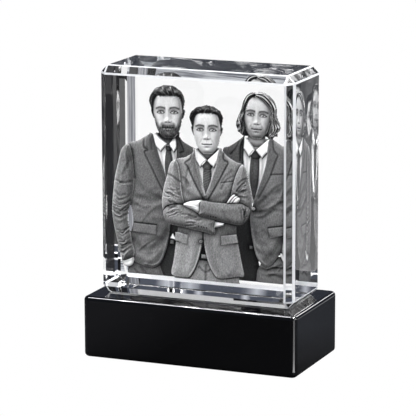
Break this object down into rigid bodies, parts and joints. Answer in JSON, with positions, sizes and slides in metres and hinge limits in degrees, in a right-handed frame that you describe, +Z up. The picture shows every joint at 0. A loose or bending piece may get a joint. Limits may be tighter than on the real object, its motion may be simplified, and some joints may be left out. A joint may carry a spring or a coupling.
{
  "type": "crystal photo block on a light base",
  "caption": "Bevelled clear crystal block with an engraved picture, standing on a gloss black battery light base with a slide switch and a hinged battery door.",
  "frame": {"origin": "on the table, under the middle of the base", "axes": "+Z up, +X to the right seen from the front, +Y to the back; the picture and the base's front face look along -Y"},
  "size_m": [0.0984, 0.051, 0.1278],
  "materials": {
    "crystal": "polished clear optical glass",
    "engraving": "white fine fractures in the glass, shaded by their density",
    "gloss_black": "high gloss black",
    "frosted_window": "frosted acrylic",
    "white_plastic": "white moulded plastic",
    "white_board": "white solder mask",
    "lamp": "phosphor in a white package",
    "resistor": "black ceramic",
    "screw_steel": "zinc plated",
    "matt_black": "fine moulded texture",
    "cell_jacket": "plain wrapped cell",
    "nickel": "nickel plated spring steel",
    "switch_can": "tin plated",
    "foot_rubber": "soft rubber",
    "red_wire": "PVC insulation",
    "black_wire": "PVC insulation"
  },
  "bodies": {
    "base": {"base_shell": "gloss_black", "light_window": "frosted_window", "reflector_tray": "white_plastic", "led_board": "white_board", "led_left": "lamp", "led_middle": "lamp", "led_right": "lamp", "board_resistor": "resistor", "tray_screw_left": "screw_steel", "tray_screw_right": "screw_steel", "bottom_cover": "matt_black", "cell_front": "cell_jacket", "cell_middle": "cell_jacket", "cell_rear": "cell_jacket", "contact_plus": "nickel", "contact_pair_right": "nickel", "contact_pair_left": "nickel", "contact_minus": "nickel", "switch_body": "switch_can", "switch_screw_left": "screw_steel", "switch_screw_right": "screw_steel", "cover_screw_front_left": "screw_steel", "cover_screw_front_right": "screw_steel", "cover_screw_back_left": "screw_steel", "cover_screw_back_right": "screw_steel", "foot_front_left": "foot_rubber", "foot_front_right": "foot_rubber", "foot_back_left": "foot_rubber", "foot_back_right": "foot_rubber", "wire_plus": "red_wire", "wire_switched": "red_wire", "wire_minus": "black_wire"},
    "crystal": {"crystal_block": "crystal", "engraved_figure_left": "engraving", "engraved_figure_middle": "engraving", "engraved_figure_right": "engraving"},
    "knob": {"switch_knob": "matt_black"},
    "door": {"battery_door": "matt_black"}
  },
  "joints": [
    {"name": "crystal_lift", "type": "slide", "parent": "base", "child": "crystal", "axis": [0, 0, 1], "range_m": [0, 0.06]},
    {"name": "switch_slide", "type": "slide", "parent": "base", "child": "knob", "axis": [1, 0, 0], "range_m": [0, 0.003]},
    {"name": "door_swing", "type": "hinge", "parent": "base", "child": "door", "pos_m": [-0.02685, 0, 0.00155], "axis": [0, 1, 0], "range_deg": [0, 60]}
  ]
}
